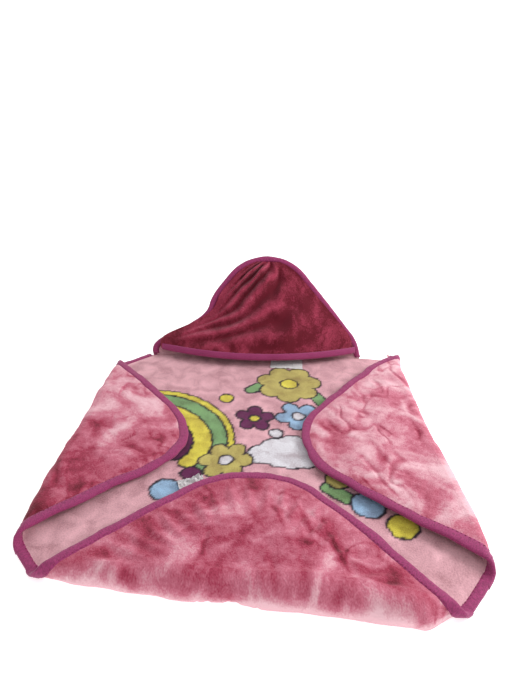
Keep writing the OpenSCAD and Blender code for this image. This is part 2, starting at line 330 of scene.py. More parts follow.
def crushed(x, y):
    """Creases where the pile was crushed, from 0 to 1: short curling strokes in patches."""
    bend = waves(x, y, 70 * MM, 2, 14) * 36 * MM
    ridge = 1 - 4.5 * abs(waves(x + bend, (y - 0.6 * x) * 0.5 + bend, 48 * MM, 2, 15))
    return max(0, ridge) ** 1.3 * smooth(waves(x, y, 90 * MM, 2, 16), -0.2, 0.35)


def pile_lay_and_sheen(x, y):
    """How far the outer pile leans to or from the light, from about -1 to 1: lumps in the pile's height, and
    painted sheen and painted shade in its colour, darker on crushed strokes.
    """
    return 1.15 * swirl(x, y, 80 * MM, 1.0) + 0.25 * waves(x, y, 12 * MM, 2, 5.0) - 0.8 * crushed(x, y)


def gathers(fold, x, y):
    """Soft channels that run in from a flap's bound edge, from 0 to 1 deep."""
    centre = fold.corner_centre() - fold.out * 100 * MM
    away = Vector((x, y, 0)) - centre
    bearing = math.atan2(away.dot(fold.along), away.dot(fold.out))
    reach = smooth(edge_in(x, y), 8 * MM, 26 * MM) * (1 - smooth(edge_in(x, y), 50 * MM, 105 * MM))
    return reach * (0.5 + 0.5 * math.sin(bearing * 44 + 2 * waves(x, y, 80 * MM, 1, fold.seed)))


def gripped(inset):
    """A ply's thickness at a distance in from the bound edge, where the binding holds it down."""
    return mix(GRIP, PLY, smooth(inset, 9 * MM, 24 * MM))


def outer_height(fold):
    """Height of a flap's outer pile, held down under its binding."""
    def height(x, y):
        inset = edge_in(x, y)
        u, v = fold.flat(x, y)
        nose = fold.bulge(v) * math.exp(-((u / NOSE_REACH) ** 2)) * smooth(inset, 12 * MM, 40 * MM)
        loft = fold.loft * smooth(inset, 14 * MM, 70 * MM) * (0.6 + 0.5 * waves(x, y, 60 * MM, 1, fold.seed))
        lumps = 1.0 * MM * pile_lay_and_sheen(x, y) - 1.5 * MM * crushed(x, y) - fold.channel * gathers(fold, x, y)
        lumps *= smooth(inset, 12 * MM, 22 * MM)
        return gripped(inset) + max(0, loft + lumps) + nose

    return height


def inner_height(x, y):
    """Height of the inner, printed pile."""
    inset = edge_in(x, y)
    lumps = 0.9 * MM * waves(x, y, 34 * MM, 2, 9.0) - 0.8 * MM * crushed(x, y)
    lumps *= smooth(inset, 12 * MM, 22 * MM) * (1 - 0.8 * smooth(y, 190 * MM, 225 * MM))
    return gripped(inset) + lumps


# ---- Mesh helpers ----

def finished(bm, name, skin):
    """Turns a bmesh into a smooth piece of one material, with its edges sharp past 60 degrees."""
    bmesh.ops.recalc_face_normals(bm, faces=bm.faces)
    mesh = bpy.data.meshes.new(name)
    for face in bm.faces:
        face.smooth = True
    for edge in bm.edges:
        edge.smooth = edge.calc_face_angle(0) < math.radians(60)
    bm.to_mesh(mesh)
    bm.free()
    mesh.materials.append(skin)
    piece = bpy.data.objects.new(name, mesh)
    bpy.context.scene.collection.objects.link(piece)
    return piece


def flat_sheet(low, high, step, across, along, cuts):
    """A flat grid from low to high along two directions, cut off past each (point, direction) line."""
    bm = bmesh.new()
    counts = [max(2, round((b - a) / step)) for a, b in zip(low, high)]
    bmesh.ops.create_grid(bm, x_segments=counts[0], y_segments=counts[1], size=0.5)
    for v in bm.verts:
        v.co = across * mix(low[0], high[0], v.co.x + 0.5) + along * mix(low[1], high[1], v.co.y + 0.5)
    for point, direction in cuts:
        everything = bm.verts[:] + bm.edges[:] + bm.faces[:]
        bmesh.ops.bisect_plane(
            bm, geom=everything, plane_co=point, plane_no=direction, clear_outer=True, dist=0.3 * MM
        )
    return bm


def same_spot(x, y):
    """Fibres are looked up where the cloth is."""
    return x, y


def closed_ply(bm, face, height, place, shade, grain_spot=same_spot):
    """Closes a flat sheet into one ply: face is 1 for the inner ply, which lifts, and -1 for the outer.

    grain_spot gives where the fibres of a flat spot are looked up, so that a full fold doesn't stretch them.
    """
    bmesh.ops.recalc_face_normals(bm, faces=bm.faces)
    bmesh.ops.solidify(bm, geom=bm.faces[:] + bm.edges[:] + bm.verts[:], thickness=1 * MM)
    middle = (min(v.co.z for v in bm.verts) + max(v.co.z for v in bm.verts)) / 2
    layer = bm.loops.layers.uv.new("cloth")
    for polygon in bm.faces:
        for loop in polygon.loops:
            loop[layer].uv = grain_spot(*loop.vert.co.xy)
    lay = bm.verts.layers.float.new("lay")
    for v in bm.verts:
        x, y = v.co.xy
        free = (v.co.z > middle) == (face > 0)
        # The lay attribute: painted sheen and painted shade, from the shade function
        v[lay] = shade(x, y)
        v.co = place(x, y, face * height(x, y) if free else 0)
    return bm


def side_cuts(inset):
    """Lines that cut the flat cloth's four straight sides."""
    cuts = []
    for k in range(4):
        bearing = math.radians(45 + 90 * k)
        direction = Vector((math.cos(bearing), math.sin(bearing), 0))
        half = (CLOTH_L if k % 2 == 0 else CLOTH_W) / 2
        cuts.append((direction * (half - inset), direction))
    return cuts


def corner_cuts(fold, inset, count=12):
    """Lines that round off a flap's corner."""
    centre = fold.corner_centre()
    square = round(math.atan2(fold.corner.y, fold.corner.x) / (math.pi / 2)) * math.pi / 2
    cuts = []
    for k in range(1, count):
        bearing = square + (k / count - 0.5) * math.pi / 2
        direction = Vector((math.cos(bearing), math.sin(bearing), 0))
        cuts.append((centre + direction * (CORNER_R - inset), direction))
    return cuts


def tube(path, half_w, half_h, place, pucker, seed, rounds=18):
    """A flattened tube of tape along path: (centre, outward direction) pairs in flat coordinates."""
    bm = bmesh.new()
    bmesh.ops.create_grid(bm, x_segments=len(path) - 1, y_segments=rounds, size=0.5)
    layer = bm.loops.layers.uv.new("cloth")
    length = 0
    marks = [0]
    for (a, _), (b, _) in zip(path, path[1:]):
        length += (b - a).length
        marks.append(length)
    for polygon in bm.faces:
        for loop in polygon.loops:
            k = round((loop.vert.co.x + 0.5) * (len(path) - 1))
            loop[layer].uv = (marks[k], (loop.vert.co.y + 0.5) * 4 * half_w)
    for v in bm.verts:
        k = round((v.co.x + 0.5) * (len(path) - 1))
        turn = (v.co.y + 0.5) * 2 * math.pi
        centre, outward = path[k]
        wobble = 1 + 0.10 * waves(marks[k], 0, 22 * MM, 2, seed)
        gather = 1 + pucker * waves(marks[k], turn * 4 * MM, 5 * MM, 2, seed + 4)
        side = math.copysign(abs(math.cos(turn)) ** 0.7, math.cos(turn)) * half_w * wobble
        lift = math.copysign(abs(math.sin(turn)) ** 0.7, math.sin(turn)) * half_h * gather
        spot = centre + outward * side
        v.co = place(spot.x, spot.y, lift)
    bmesh.ops.remove_doubles(bm, verts=bm.verts, dist=0.01 * MM)
    bmesh.ops.holes_fill(bm, edges=[e for e in bm.edges if e.is_boundary], sides=0)
    return bm


def stitches(path, inset, half_h, place):
    """Separate stitches along both faces of a tape."""
    bm = bmesh.new()
    travelled = 0
    for (a, outward), (b, _) in zip(path, path[1:]):
        travelled += (b - a).length
        if travelled < STITCH_PITCH:
            continue
        travelled = 0
        ahead = (b - a).normalized()
        for face in (1, -1):
            made = bmesh.ops.create_icosphere(bm, subdivisions=1, radius=0.5)
            for v in made["verts"]:
                spot = a - outward * inset + ahead * v.co.x * STITCH_LENGTH + outward * v.co.y * STITCH_WIDTH
                v.co = place(spot.x, spot.y, face * half_h + v.co.z * STITCH_THICK)
    return bm


# ---- Materials ----

def rgb(code):
    """An sRGB hex colour as linear red, green, blue and alpha."""
    parts = [int(code[k:k + 2], 16) / 255 for k in (0, 2, 4)]
    return tuple(c / 12.92 if c <= 0.04045 else ((c + 0.055) / 1.055) ** 2.4 for c in parts) + (1,)


def add_node(tree, kind, settings=(), **links):
    """Adds a node; settings are properties or input values, and links name the sockets that feed it."""
    node = tree.nodes.new("ShaderNode" + kind)
    for key, value in dict(settings).items():
        if key in node.inputs:
            node.inputs[key].default_value = value
        else:
            setattr(node, key, value)
    for key, socket in links.items():
        tree.links.new(socket, node.inputs[key.replace("_", " ")])
    return node


def ramp(tree, factor, stops):
    """A colour ramp from (position, hex) stops."""
    node = add_node(tree, "ValToRGB", Fac=factor)
    elements = node.color_ramp.elements
    for element, (position, code) in zip(elements, (stops[0], stops[-1])):
        element.position = position
        element.color = rgb(code)
    for position, code in stops[1:-1]:
        elements.new(position).color = rgb(code)
    return node


def material(name, roughness, sheen=0.0, sheen_tint="ffffff", specular=0.3):
    """A new material with its shader's uniform values set; gives it, its tree and its shader."""
    made = bpy.data.materials.new(name)
    made.use_nodes = True
    tree = made.node_tree
    shader = tree.nodes["Principled BSDF"]
    shader.inputs["Roughness"].default_value = roughness
    shader.inputs["Sheen Weight"].default_value = sheen
    shader.inputs["Sheen Roughness"].default_value = 0.45
    shader.inputs["Sheen Tint"].default_value = rgb(sheen_tint)
    shader.inputs["Specular IOR Level"].default_value = specular
    return made, tree, shader


def cloth_place(tree):
    return add_node(tree, "UVMap", {"uv_map": "cloth"}).outputs["UV"]


def grain(tree, place, size, detail=3, distortion=0.0):
    """Noise with lumps about size apart, from the cloth's own flat coordinates."""
    settings = {"Scale": 1 / size, "Detail": detail, "Distortion": distortion, "noise_dimensions": "2D"}
    return add_node(tree, "TexNoise", settings, Vector=place).outputs["Fac"]


def add_up(tree, a, b, share):
    """a + (b - 0.5) * share."""
    centred = add_node(tree, "Math", {"operation": "MULTIPLY_ADD"})
    tree.links.new(b, centred.inputs[0])
    centred.inputs[1].default_value = share
    centred.inputs[2].default_value = -share / 2
    total = add_node(tree, "Math", {"operation": "ADD"})
    tree.links.new(a, total.inputs[0])
    tree.links.new(centred.outputs[0], total.inputs[1])
    return total.outputs[0]


def plush(name, stops, tint):
    """Brushed plush of one dye, with painted sheen and painted shade from its lay attribute: dark patches
    here and pale ones there, where the pile leans to or from the light.
    """
    made, tree, shader = material(name, 0.95, 0.35, tint, 0.1)
    place = cloth_place(tree)
    # The lay attribute is painted sheen and painted shade of the pile; fibre grain is added to it
    lay = add_node(tree, "Attribute", {"attribute_name": "lay"}).outputs["Fac"]
    # Fibre tips, about 2 mm apart, and clumps of them, about 8 mm apart
    tone = add_up(tree, lay, grain(tree, place, 9 * MM, 4, 1.2), 0.35)
    tips = grain(tree, place, 2 * MM, 2)
    tone = add_up(tree, tone, tips, 0.3)
    colour = ramp(tree, tone, stops)
    tree.links.new(colour.outputs["Color"], shader.inputs["Base Color"])
    bump = add_node(tree, "Bump", {"Strength": 0.7, "Distance": 1.2 * MM}, Height=tips)
    tree.links.new(bump.outputs["Normal"], shader.inputs["Normal"])
    return made


def printed_plush(name):
    """Short brushed plush with a printed motif, whose edges blur where the fibres cross them."""
    made, tree, shader = material(name, 0.95, 0.3, "ffe8ec", 0.1)
    place = cloth_place(tree)
    dye = add_node(tree, "Attribute", {"attribute_name": "dye"}).outputs["Color"]
    tone = add_up(tree, grain(tree, place, 30 * MM, 3, 0.4), grain(tree, place, 2.2 * MM, 2), 0.5)
    shade = ramp(tree, tone, [(0.2, "c4b8ba"), (0.5, "e6e2e3"), (0.8, "ffffff")])
    # A Mix node's factor is its input 0, and its colours are inputs 6 and 7 and output 2
    mixed = add_node(tree, "Mix", {"data_type": "RGBA", "blend_type": "MULTIPLY"})
    mixed.inputs[0].default_value = 1
    tree.links.new(dye, mixed.inputs[6])
    tree.links.new(shade.outputs["Color"], mixed.inputs[7])
    tree.links.new(mixed.outputs[2], shader.inputs["Base Color"])
    tips = grain(tree, place, 2 * MM, 2)
    bump = add_node(tree, "Bump", {"Strength": 0.6, "Distance": 1 * MM}, Height=tips)
    tree.links.new(bump.outputs["Normal"], shader.inputs["Normal"])
    return made


def plain_cloth(name, code, roughness, bump_size, bump_strength, sheen=0.0, specular=0.3):
    """Woven cloth of one dye, with slubs of bump_size."""
    made, tree, shader = material(name, roughness, sheen, "ffffff", specular)
    place = cloth_place(tree)
    slubs = grain(tree, place, bump_size, 3)
    darker = "".join(f"{int(int(code[k:k + 2], 16) * 0.78):02x}" for k in (0, 2, 4))
    colour = ramp(tree, slubs, [(0.3, darker), (0.65, code)])
    tree.links.new(colour.outputs["Color"], shader.inputs["Base Color"])
    bump = add_node(tree, "Bump", {"Strength": bump_strength, "Distance": 0.5 * MM}, Height=slubs)
    tree.links.new(bump.outputs["Normal"], shader.inputs["Normal"])
    return made


# The rose dye's ramp, from deep painted shade to pale painted sheen
ROSE = [(0.0, "661a28"), (0.3, "a43c54"), (0.6, "c97488"), (1.0, "eec0c9")]
outer_plush = plush("rose_brushed_plush", ROSE, "ffc8d4")
inner_plush = printed_plush("pale_pink_printed_plush")
tape = plain_cloth("magenta_binding_tape", "a63a70", 0.75, 1.6 * MM, 0.5, 0.2)
thread = plain_cloth("polyester_thread", "8a1f4a", 0.6, 0.5 * MM, 0.3)
satin = plain_cloth("silvery_satin", "d9d3d5", 0.35, 3 * MM, 0.3, 0.0, 0.6)
ribbon = plain_cloth("white_satin_ribbon", "f4f2f2", 0.5, 1 * MM, 0.2, 0.0, 0.5)


# ---- The printed motif: flowers, a cloud, balls, leaves and a rainbow, in millimetres on the flat cloth ----

INK = 2.3 * MM
GROUND = "ecb6bf"
OCHRE = "c8bb6c"
YELLOW = "ece058"
GREEN = "86b278"
BLUE = "a2c6e6"
PURPLE = "6c2a58"
WHITE = "eeeef4"


def ball(code, x, y, width):
    """One round form: a colour and its parts, each a width and the line that it thickens."""
    return code, [(width, [(x, y), (x + 1, y)])]


def leaf(code, x, y, length, width, turn):
    """A plump leaf or drop, turned by degrees."""
    reach = (math.cos(math.radians(turn)) * length, math.sin(math.radians(turn)) * length)
    return code, [(width, [(x, y), (x + reach[0], y + reach[1])])]


def cloud(code, x, y, width, lobes=5):
    """Lobes side by side, the middle ones higher."""
    parts = []
    for k in range(lobes):
        share = k / (lobes - 1)
        rise = width * 0.14 * math.sin(math.pi * share)
        size = width * (0.30 + 0.12 * math.sin(math.pi * share))
        aside = width * (share - 0.5)
        parts.append((size, [(x + aside * 0.7, y + rise), (x + aside * 0.5, y)]))
    return code, parts


def flower(petal_code, eye_code, x, y, width, petals=6, turn=0):
    """Round petals about an eye: two forms."""
    parts = []
    for k in range(petals):
        bearing = math.radians(turn) + 2 * math.pi * k / petals
        tip = (x + math.cos(bearing) * width * 0.32, y + math.sin(bearing) * width * 0.32)
        parts.append((width * 0.34, [(x, y), tip]))
    return [(petal_code, parts), ball(eye_code, x, y, width * 0.26)]


def rainbow(stripes, x, y, outer, low, high):
    """Stripes of (colour, width) from the outside in, about a middle, between two bearings in degrees."""
    made = []
    radius = outer
    for code, width in stripes:
        radius -= width / 2
        bearings = [math.radians(mix(low, high, k / 12)) for k in range(13)]
        arc = [(x + radius * math.cos(b), y + radius * math.sin(b)) for b in bearings]
        made.append((code, [(width, arc)]))
        radius -= width / 2
    return made


MOTIF = [
    *rainbow([(YELLOW, 14), (GREEN, 28), (YELLOW, 34), (PURPLE, 24)], -210, -20, 150, -30, 110),
    leaf(GREEN, -40, 150, 44, 26, 40),
    leaf(GREEN, 84, 142, 40, 26, -60),
    cloud(WHITE, 40, -42, 150),
    *flower(OCHRE, YELLOW, 34, 178, 134, 7, 12),
    *flower(OCHRE, WHITE, -70, -58, 96, 6, 0),
    *flower(PURPLE, YELLOW, -28, 56, 76, 5, 18),
    *flower(BLUE, WHITE, 52, 70, 88, 5, 50),
    ball(YELLOW, -86, 116, 26),
    ball(WHITE, 12, 16, 24),
    leaf(GREEN, 4, -104, 30, 22, -20),
    ball(BLUE, -150, -136, 46),
    ball(PURPLE, -120, -96, 32),
    leaf(GREEN, 96, -112, 34, 24, -35),
    ball(OCHRE, 112, -92, 40),
    ball(BLUE, 152, -142, 50),
    ball(YELLOW, 196, -178, 42),
]


def form(code, parts):
    """A form in metres, with each part's extent for a quick test."""
    made = []
    for width, points in parts:
        line = [(px * MM, py * MM) for px, py in points]
        reach = width / 2 * MM + 3 * INK
        xs = [p[0] for p in line]
        ys = [p[1] for p in line]
        extent = (min(xs) - reach, max(xs) + reach, min(ys) - reach, max(ys) + reach)
        made.append((width / 2 * MM, line, extent))
    return rgb(code), made


def line_distance(spot, line):
    """Distance from a flat spot to a line through points."""
    nearest = 1.0
    for (ax, ay), (bx, by) in zip(line, line[1:]):
        run = (bx - ax, by - ay)
        share = ((spot[0] - ax) * run[0] + (spot[1] - ay) * run[1]) / (run[0] ** 2 + run[1] ** 2)
        share = min(1, max(0, share))
        nearest = min(nearest, math.hypot(spot[0] - ax - run[0] * share, spot[1] - ay - run[1] * share))
    return nearest


def form_distance(spot, parts):
    """Distance to a form's edge, below 0 inside it: its parts are one shape."""
    nearest = 1.0
    for half, line, (left, right, low, high) in parts:
        if left < spot[0] < right and low < spot[1] < high:
            nearest = min(nearest, line_distance(spot, line) - half)
    return nearest


FORMS = [form(code, parts) for code, parts in MOTIF]
INK_COLOUR = rgb("2b2430")
GROUND_COLOUR = rgb(GROUND)


def dye_at(x, y):
    """Colour of the inner ply at a flat spot, as linear RGBA; outlines wander with the fibres."""
    wander = 2.2 * MM
    spot = (x + wander * waves(x, y, 9 * MM, 3, 51), y + wander * waves(x, y, 9 * MM, 3, 57))
    colour = GROUND_COLOUR
    for fill_colour, parts in FORMS:
        distance = form_distance(spot, parts)
        if distance < INK:
            edge = smooth(abs(distance), INK * 0.45, INK * 1.2)
            fill = fill_colour if distance < 0 else colour
            colour = tuple(mix(a, b, edge) for a, b in zip(INK_COLOUR, fill))
    return colour


def print_on(bm):
    """Writes the motif's colours onto a ply, before it leaves the flat."""
    dye = bm.verts.layers.float_color.new("dye")
    for v in bm.verts:
        v[dye] = dye_at(v.co.x, v.co.y)


# ---- Pieces ----

ALONG_X = Vector((1, 0, 0))
ALONG_Y = Vector((0, 1, 0))


def flat_place(x, y, lift):
    """Where a point of the cloth on the floor goes."""
    return pulled(Vector((x, y, MID_Z + lift)))


def ground_lift(x, y, lift):
    """As flat_place, with slow creases, but quiet near the hood and the bound edge."""
    if lift > 0:
        quiet = (1 - smooth(y, 170 * MM, 215 * MM)) * smooth(edge_in(x, y), 16 * MM, 45 * MM)
        lift += 2.5 * MM * smooth(waves(x, y, 90 * MM, 1, 41), 0, 0.8) * quiet
    return flat_place(x, y, lift)


def ground_cuts():
    """Lines where the ground cloth meets the three folds and the hood's line."""
    cuts = [(f.out * (f.crest + SEAM), f.out) for f in FOLDS]
    return cuts + [(HOOD_OUT * (HOOD_BASE - 2 * MM), HOOD_OUT)] + side_cuts(EDGE_INSET)


def ground_sheet(step):
    """The ground cloth's flat ply, cut at the folds, the hood's line and the cloth's edge."""
    low = (-LEFT.crest, -FOOT.crest)
    high = (RIGHT.crest + 20 * MM, HOOD_BASE + 30 * MM)
    return flat_sheet(low, high, step, ALONG_X, ALONG_Y, ground_cuts())


def cut_area(bm):
    """Area of a flat ply, which is then let go."""
    area = sum(f.calc_area() for f in bm.faces)
    bm.free()
    return area


def ground_cloth():
    """The two plies of the cloth's middle, which lie on the floor."""
    outer = ground_sheet(12 * MM)
    # The outer ply's lay attribute is painted sheen and painted shade of the pile
    closed_ply(outer, -1, lambda x, y: PLY, flat_place, pile_lay_and_sheen)
    inner = ground_sheet(3 * MM)
    print_on(inner)
    closed_ply(inner, 1, inner_height, ground_lift, lambda x, y: 0.5)
    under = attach(finished(outer, "ground_cloth_outer", outer_plush), "centre")
    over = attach(finished(inner, "ground_cloth_inner", inner_plush), "centre")
    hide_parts("centre_outer_ply")
    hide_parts("centre_inner_ply")
    return under, over


def corner_cut(fold, cuts=()):
    """Width, length and area of a folded corner's plies, as they are cut."""
    bm = flat_sheet(*corner_extent(fold), 10 * MM, fold.out, fold.along, corner_edges(fold) + list(cuts))
    reach = [v.co.dot(fold.out) for v in bm.verts]
    ends = [v.co.dot(fold.along) for v in bm.verts]
    return max(reach) - min(reach), max(ends) - min(ends), cut_area(bm)


def corner_extent(fold):
    """A rectangle about a corner's plies, from their seam to past the tip and past both ends of the fold."""
    half = 330 * MM
    return (fold.crest + SEAM, -half), (fold.crest + fold.tip + 4 * MM, half)


def past_roll(fold):
    """The cut that leaves only the flap: the line at which the roll ends, and the way off the flap."""
    return fold.out * (fold.crest + ROLL_FLAT), -fold.out


def corner_edges(fold):
    """The cuts that give a corner's plies the cloth's outline."""
    return side_cuts(EDGE_INSET) + corner_cuts(fold, EDGE_INSET)


def corner_ply(fold, name, face, step, height, skin, cuts=()):
    """One ply of a folded-in corner, from the ground cloth's seam round the fold to the tip."""
    bm = flat_sheet(*corner_extent(fold), step, fold.out, fold.along, corner_edges(fold) + list(cuts))
    if face > 0:
        print_on(bm)
    grain_spot = fold.grain_spot if face < 0 else same_spot
    # fold.brushed gives the outer ply's painted sheen, painted shade and painted fold highlight
    closed_ply(bm, face, height, fold.lay, fold.brushed, grain_spot)
    return finished(bm, name, skin)


def outline(inset, step):
    """The cloth's edge, moved in by inset, from the hood's corner round: (place, outward direction) pairs."""
    path = []
    for k in range(4):
        bearings = [math.radians(45 + 90 * (k + n)) for n in (0, 1)]
        sides = [Vector((math.cos(b), math.sin(b), 0)) for b in bearings]
        halves = [(CLOTH_L if (k + n) % 2 == 0 else CLOTH_W) / 2 - CORNER_R for n in (0, 1)]
        centre = sides[0] * halves[0] + sides[1] * halves[1]
        radius = CORNER_R - inset
        count = round(radius * math.pi / 2 / step)
        if path:
            start = centre + sides[0] * radius
            last = path[-1][0]
            gaps = round((start - last).length / step)
            path += [(last.lerp(start, n / gaps), sides[0]) for n in range(1, gaps)]
        for n in range(count + 1):
            bearing = mix(*bearings, n / count)
            outward = Vector((math.cos(bearing), math.sin(bearing), 0))
            path.append((centre + outward * radius, outward))
    start = path[0][0]
    last = path[-1][0]
    gaps = round((start - last).length / step)
    return path + [(last.lerp(start, n / gaps), path[0][1]) for n in range(1, gaps)]


def zone_of(point):
    """The part of the cloth that a point of its edge belongs to."""
    for fold in FOLDS:
        if fold.flat(point.x, point.y)[0] > SEAM:
            return fold.side
    return "hood" if point.dot(HOOD_OUT) > HOOD_BASE - 2 * MM else "ground"


def edge_runs(inset, step):
    """The cloth's edge in runs, one for each stretch in one part of the cloth."""
    runs = []
    for point, outward in outline(inset, step):
        zone = zone_of(point)
        if not runs or runs[-1][0] != zone:
            runs.append((zone, runs[-1][1][-1:] if runs else []))
        runs[-1][1].append((point, outward))
    return runs


def bend_corner(piece, fold, low):
    """The piece's transform is baked into its mesh; it is not turned with the fold's joint."""
    start = fold.place(0, 0, low)
    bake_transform(piece)


EDGE_RUNS = edge_runs(BAND / 2, 3 * MM)
# Grid step of the outer plies, fine enough for their lumps
PILE_STEP = 2.6 * MM


def corner(fold):
    """A folded-in corner: two plies, their binding and its stitches."""
    name = fold.side + "_corner_"
    cuts = [past_roll(fold)]
    outer = corner_ply(fold, name + "outer", -1, PILE_STEP, outer_height(fold), outer_plush, cuts)
    inner = corner_ply(fold, name + "inner", 1, 4 * MM, inner_height, inner_plush)
    path = next(run for zone, run in EDGE_RUNS if zone == fold.side)
    # The tape spreads a little where it bends with the flap
    binding = tube(path, BAND * 0.57, TAPE_HALF, fold.lay, PUCKER, fold.seed)
    band = finished(binding, name + "binding", tape)
    sewn = stitches(path, STITCH_IN, TAPE_HALF * 0.95, fold.lay)
    seam = finished(sewn, name + "stitches", thread)
    # Each piece, two heights in millimetres, its slot and the nodes that it stands for
    pieces = [
        (outer, (4, 24), "outer_plush", [fold.side + "_flap_outer_ply"]),
        (inner, (9.3, 19.3), "inner_plush", [fold.side + "_flap_inner_ply", fold.side + "_fold_inner_ply"]),
        (band, (7, 21), "binding_tape", [fold.side + "_flap_binding", fold.side + "_fold_bindings"]),
        (seam, (7, 21), "thread", [fold.side + "_flap_stitching"]),
    ]
    for piece, (low, high), slot, nodes in pieces:
        bend_corner(piece, fold, low * MM)
        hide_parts(*nodes)
    outer_fold(fold)
    return outer, inner, band, seam


def outer_fold(fold):
    """The outer ply round a fold: its full pile stays on the floor with the ground cloth."""
    name = fold.side + "_corner_fold"
    point, inwards = past_roll(fold)
    cut = (point, -inwards)
    roll = corner_ply(fold, name, -1, PILE_STEP, outer_height(fold), outer_plush, [cut])
    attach(roll, "centre")
    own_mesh(roll)
    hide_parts(fold.side + "_fold_outer_ply")
    width, length, area = corner_cut(fold, [cut])


def ground_edges():
    """Binding and stitches on the stretches of edge that stay on the floor."""
    made = []
    runs = [run for zone, run in EDGE_RUNS if zone == "ground" and len(run) > 3]
    for number, path in enumerate(runs, start=1):
        binding = tube(path, BAND / 2, TAPE_HALF, flat_place, PUCKER, 59 + number)
        band = finished(binding, f"ground_edge_binding_{number}", tape)
        sewn = stitches(path, STITCH_IN, TAPE_HALF * 0.95, flat_place)
        seam = finished(sewn, f"ground_edge_stitches_{number}", thread)
        table = [(band, "binding_tape", "centre_bindings"), (seam, "thread", "centre_stitching")]
        for piece, slot, node in table:
            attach(piece, "centre")
            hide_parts(node)
            made.append(piece)
    return made


# ---- The hood ----

# The left flank flares out low down and draws in above that; the right one tucks in at its foot
FLARE = 34 * MM
WAIST = 18 * MM
TUCK = 20 * MM
# The pocket's front: how far in from the back's edge it is joined, and how far it stands off the back
FRONT_IN = 9 * MM
POCKET = 45 * MM
# How far its lower edge, the hood's mouth, is raised, and how far it sags from there in the middle
MOUTH_RISE = 18 * MM
MOUTH_SAG = 21 * MM
CREASE_DEPTH = 6.5 * MM
LUMP_DEPTH = 4 * MM
# The front stops where the tape round the hood's top covers it
FRONT_TOP = 1 - math.sqrt(6 * MM / HOOD_TOP)
# Half thickness of the tape that covers the edges of both back and front, and half of it at the mouth
HOOD_TAPE_HALF = 6.5 * MM
MOUTH_TAPE_HALF = 5 * MM
# The hood's pile is looked up this far past its line, clear of the ground cloth's
HOOD_PILE = 0.4


def swell(y, middle, reach):
    """1 at a height above the hood's line, falling to 0 about reach away."""
    return math.exp(-(((y - middle) / reach) ** 2))


def hood_ends(y):
    """Left and right ends of the hood's back at a height above its line."""
    half = hood_half_width(y)
    left = half + FLARE * swell(y, 26 * MM, 28 * MM) - WAIST * swell(y, 94 * MM, 32 * MM)
    return -left, half - TUCK * swell(y, 0, 28 * MM)


def hood_height(t):
    """Height above the hood's line: rows come closer towards the round top."""
    return HOOD_TOP * (1 - (1 - t) ** 2)


def hood_spot(s, t):
    """A flat spot of the hood's back: s runs from -1 to 1, left to right, and t from 0 to 1, upwards."""
    y = hood_height(t)
    left, right = hood_ends(y)
    return Vector((mix(left, right, (s + 1) / 2), y, 0))


def hood_sheet(name, skin, t_high, place, low, high):
    """A closed sheet of the hood, from its line up to the share t_high, between two lifts."""
    bm = bmesh.new()
    bmesh.ops.create_grid(bm, x_segments=150, y_segments=84, size=1)
    for v in bm.verts:
        v.co.y = t_high * (v.co.y + 1) / 2
    bmesh.ops.recalc_face_normals(bm, faces=bm.faces)
    bmesh.ops.solidify(bm, geom=bm.faces[:] + bm.edges[:] + bm.verts[:], thickness=0.01)
    middle = (min(v.co.z for v in bm.verts) + max(v.co.z for v in bm.verts)) / 2
    layer = bm.loops.layers.uv.new("cloth")
    lay = bm.verts.layers.float.new("lay")
    dye = bm.verts.layers.float_color.new("dye")
    for polygon in bm.faces:
        for loop in polygon.loops:
            spot = hood_spot(loop.vert.co.x, loop.vert.co.y)
            loop[layer].uv = (spot.x, spot.y + HOOD_PILE)
    for v in bm.verts:
        s, t = v.co.x, v.co.y
        spot = hood_spot(s, t)
        # Painted shade and painted highlight of the hood's pile, in its lay attribute
        v[lay] = hood_painted_light(spot.x, spot.y + HOOD_PILE, s, t)
        v[dye] = GROUND_COLOUR
        lift = high if v.co.z > middle else low
        v.co = place(s, t, spot, lift)
    bmesh.ops.remove_doubles(bm, verts=bm.verts, dist=0.05 * MM)
    return finished(bm, name, skin)


def sway(x, y):
    """How far the hood's back leans off its own plane."""
    return 3 * MM * waves(x, y, 80 * MM, 1, 71)


def back_place(s, t, spot, lift):
    """The hood's back, which rises from the ground cloth round the bend."""
    return hood_lay(spot.x, spot.y, lift + sway(spot.x, spot.y) * smooth(t, 0.05, 0.3))


def creases(s, t):
    """Creases of the pocket's front that fan out from its lower left corner."""
    bearing = math.atan2(t + 0.10, (s + 1.25) * 0.75)
    fan = math.sin(bearing * 34 + 2.2 * waves(s, t, 0.5, 2, 77)) * smooth(s, -1, -0.6)
    return fan * (1 - smooth(s, 0.0, 0.9)) * smooth(1 - abs(s), 0.02, 0.25) * smooth(t, 0.01, 0.12)


def front_place(s, t, spot, lift):
    """The pocket's front, which stands off the back and is open along its lower edge."""
    half_width = (hood_spot(1, t) - hood_spot(-1, t)).length / 2
    spot = spot.lerp(hood_spot(0, t), min(1, FRONT_IN / max(half_width, FRONT_IN)))
    below = 1 - hood_height(t) / HOOD_TOP
    sag = MOUTH_SAG * below * (1 - s * s)
    bulge = POCKET * max(0, 1 - s * s) ** (0.8 + 0.7 * (1 - below)) * below**1.1
    bulge += 5 * MM * math.sin(math.pi * below) * max(0, 1 - s * s) ** 1.5
    rumple = CREASE_DEPTH * creases(s, t)
    rumple += LUMP_DEPTH * waves(s, t, 0.35, 2, 79) * smooth(1 - abs(s), 0, 0.3)
    rise = MOUTH_RISE * below
    edge = smooth(below, 0, 0.12)
    return hood_stand(spot.x, spot.y + rise - sag, PLY + 1 * MM + bulge + rumple * edge + lift)


